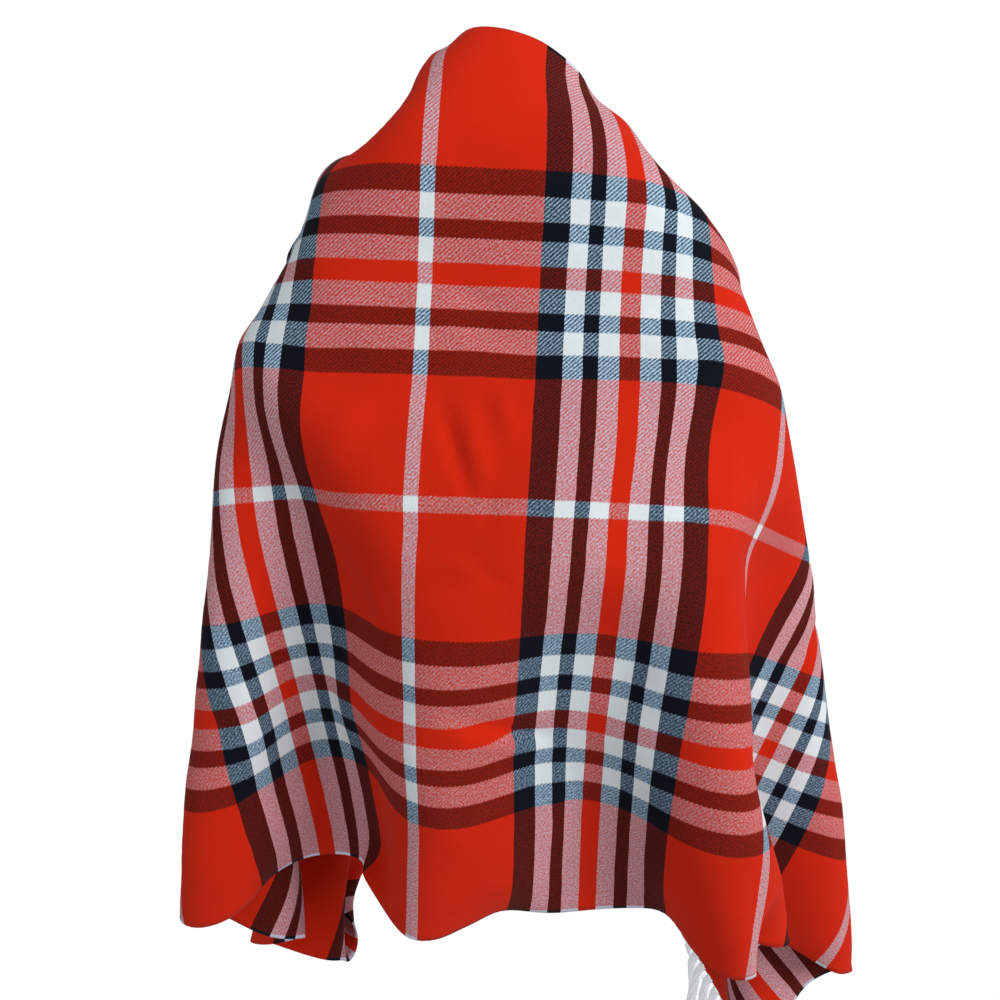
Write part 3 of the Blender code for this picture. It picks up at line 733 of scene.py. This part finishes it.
# ---------------------------------------------------------------- fringes
def strand_root(sheet, along, inward, at):
    """A strand's place on a short edge, the way along that edge there, and the way out of the cloth."""
    near = sample(sheet, [along, along + inward * PROBE_IN], [at - PROBE_ASIDE, at, at + PROBE_ASIDE])
    root = near[0, 1]
    run = near[0, 2] - near[0, 0]
    run /= np.linalg.norm(run)
    leave = root - near[1, 1]
    leave -= run * (leave @ run)
    leave /= np.linalg.norm(leave)
    return root, run, leave


def strand_route(root, run, leave, sway, drift, tucked, length):
    """Middle line of a strand that leaves the edge and turns down, and two ways across it at each step."""
    lean = FRINGE_LEAN + FRINGE_LEAN_UPRIGHT * run[2] ** 4
    hang = np.array((0.0, 0.0, -1.0)) + lean * leave + sway * run
    hang[0] += drift * tucked
    hang /= np.linalg.norm(hang)
    turn = np.clip(YARN_PLACES / (TURN_SHARE - TUCKED_SOONER * tucked), 0.0, 1.0)
    turn = turn * turn * (3.0 - 2.0 * turn)
    heading = leave[None, :] * (1.0 - turn)[:, None] + hang[None, :] * turn[:, None]
    heading /= np.linalg.norm(heading, axis=1)[:, None]
    path = np.zeros((YARN_STEPS + 1, 3))
    path[0] = root - leave * ROOT_DEPTH
    for k in range(YARN_STEPS):
        path[k + 1] = path[k] + (heading[k] + heading[k + 1]) / 2.0 * length / YARN_STEPS
    side = run[None, :] - heading * (heading @ run)[:, None]
    side /= np.linalg.norm(side, axis=1)[:, None]
    return path, side, np.cross(heading, side)


def yarn_line(yarn, start, wave, path, side, thick):
    """Middle line of one yarn of a strand: the first runs inside, the others wind round it."""
    ring = 0.0 if yarn == 0 else STRAND_RADIUS
    angle = start + 2.0 * math.pi * yarn / (YARNS_IN_STRAND - 1) + YARN_PLACES * STRAND_TWIST
    open_up = ring * (STRAND_CLOSED + STRAND_OPENING * YARN_PLACES)
    flat = 1.0 - ROOT_FLATNESS + ROOT_FLATNESS * np.clip(YARN_PLACES / FLAT_SHARE, 0.0, 1.0)
    across = np.cos(angle) * open_up * (1.0 + ROOT_FLATNESS - ROOT_FLATNESS * flat) + wave
    out = np.sin(angle) * open_up * flat
    return path + side * across[:, None] + thick * out[:, None]


def add_tube(tube, centre, side, thick, length, shift):
    """Adds a yarn with a closed tip to the vertices, faces and places in tube."""
    vertices, faces, places = tube
    first = len(vertices)
    for k in range(YARN_STEPS + 1):
        radius = YARN_RADIUS * (1.0 if k < YARN_STEPS else TIP_SHARE)
        for s in range(YARN_SIDES):
            turn_at = 2.0 * math.pi * s / YARN_SIDES
            offset = side[k] * math.cos(turn_at) + thick[k] * math.sin(turn_at)
            vertices.append(tuple(centre[k] + offset * radius))
    for k in range(YARN_STEPS):
        low, high = YARN_PLACES[k] * length, YARN_PLACES[k + 1] * length
        for s in range(YARN_SIDES):
            following = (s + 1) % YARN_SIDES
            a = first + k * YARN_SIDES
            b = a + YARN_SIDES
            faces.append((a + s, a + following, b + following, b + s))
            left = s / YARN_SIDES + shift
            right = (s + 1) / YARN_SIDES + shift
            places += [(left, low), (right, low), (right, high), (left, high)]
    tip = first + YARN_STEPS * YARN_SIDES
    faces.append(tuple(tip + s for s in range(YARN_SIDES)))
    places += [(0.5, length)] * YARN_SIDES


def add_fringe(name, sheet, along, inward, drift, seed, material):
    """Strands of loosely laid yarns that leave a short edge and hang."""
    random = np.random.default_rng(seed)
    pitch = (WIDTH - 2.0 * HEADING_MARGIN) / FRINGE_STRANDS
    tube = ([], [], [])
    for strand in range(FRINGE_STRANDS):
        at = HEADING_MARGIN + pitch * (strand + 0.5)
        root, run, leave = strand_root(sheet, along, inward, at)
        sway = FRINGE_SWAY * math.sin(SWAY_STEP * strand)
        tucked = min(1.0, max(0.0, (TUCKED_TO - at) / TUCKED_FADE)) if drift else 0.0
        length = FRINGE_LENGTH * (1.0 + LENGTH_SPREAD * random.normal())
        path, side, thick = strand_route(root, run, leave, sway, drift, tucked, length)
        start = random.uniform(0.0, 2.0 * math.pi)
        for yarn in range(YARNS_IN_STRAND):
            wave = WAVE * np.sin(YARN_PLACES * random.uniform(*WAVE_TURNS) + random.uniform(*WAVE_STARTS))
            centre = yarn_line(yarn, start, wave, path, side, thick)
            add_tube(tube, centre, side, thick, length, shift=yarn + strand * (YARNS_IN_STRAND + 1))
    return add_mesh(name, tube[0], tube[1], "yarn", tube[2], material)


sheet = eased_sheet()
tartan = tartan_material()
yarn = fringe_material()
cloth = add_cloth(sheet, tartan)
left_fringe = add_fringe(
    "left_fringe_yarns", sheet, -LEFT_LENGTH, inward=1.0, drift=0.0, seed=11, material=yarn
)
right_fringe = add_fringe(
    "right_fringe_yarns", sheet, RIGHT_LENGTH, inward=-1.0, drift=TUCKED_DRIFT, seed=12, material=yarn
)

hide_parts("left_stretch", "back_stretch", "right_stretch")
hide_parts("left_fringe")
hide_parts("right_fringe")
for piece in (cloth, left_fringe, right_fringe):
    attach(piece, "root")


# ---------------------------------------------------------------- light, camera
def add_light(name, place, aim, size, power, colour):
    """A square light at a place, turned towards its aim."""
    data = bpy.data.lights.new(name, "AREA")
    data.shape = "SQUARE"
    data.size = size
    data.energy = power
    data.color = colour
    light = bpy.data.objects.new(name, data)
    light.location = place
    light.rotation_euler = (Vector(aim) - Vector(place)).to_track_quat("-Z", "Y").to_euler()
    bpy.context.scene.collection.objects.link(light)


add_light("key", KEY_PLACE, aim=(0.0, 0.0, -0.45), size=1.2, power=61.0, colour=(1.0, 0.98, 0.96))
add_light("fill", FILL_PLACE, aim=(0.0, 0.0, -0.5), size=1.8, power=4.0, colour=(0.96, 0.98, 1.0))

# white behind the cloth, and a softer glow on it from all round
world = bpy.data.worlds.new("studio")
world.use_nodes = True
tree = world.node_tree
background = tree.nodes["Background"]
background.inputs["Color"].default_value = (1.0, 1.0, 1.0, 1.0)
seen = tree.nodes.new("ShaderNodeLightPath").outputs["Is Camera Ray"]
glow = calc(tree, "ADD", GLOW, calc(tree, "MULTIPLY", seen, 1.0 - GLOW))
tree.links.new(glow, background.inputs["Strength"])
bpy.context.scene.world = world
bpy.context.scene.view_settings.view_transform = "Standard"

camera_data = bpy.data.cameras.new("camera")
camera_data.sensor_width = SENSOR_WIDTH
camera_data.lens = LENS
camera = bpy.data.objects.new("camera", camera_data)
camera.location = CAMERA_PLACE
camera.rotation_euler = (math.radians(90.0 - CAMERA_TILT), 0.0, 0.0)
bpy.context.scene.collection.objects.link(camera)
bpy.context.scene.camera = camera
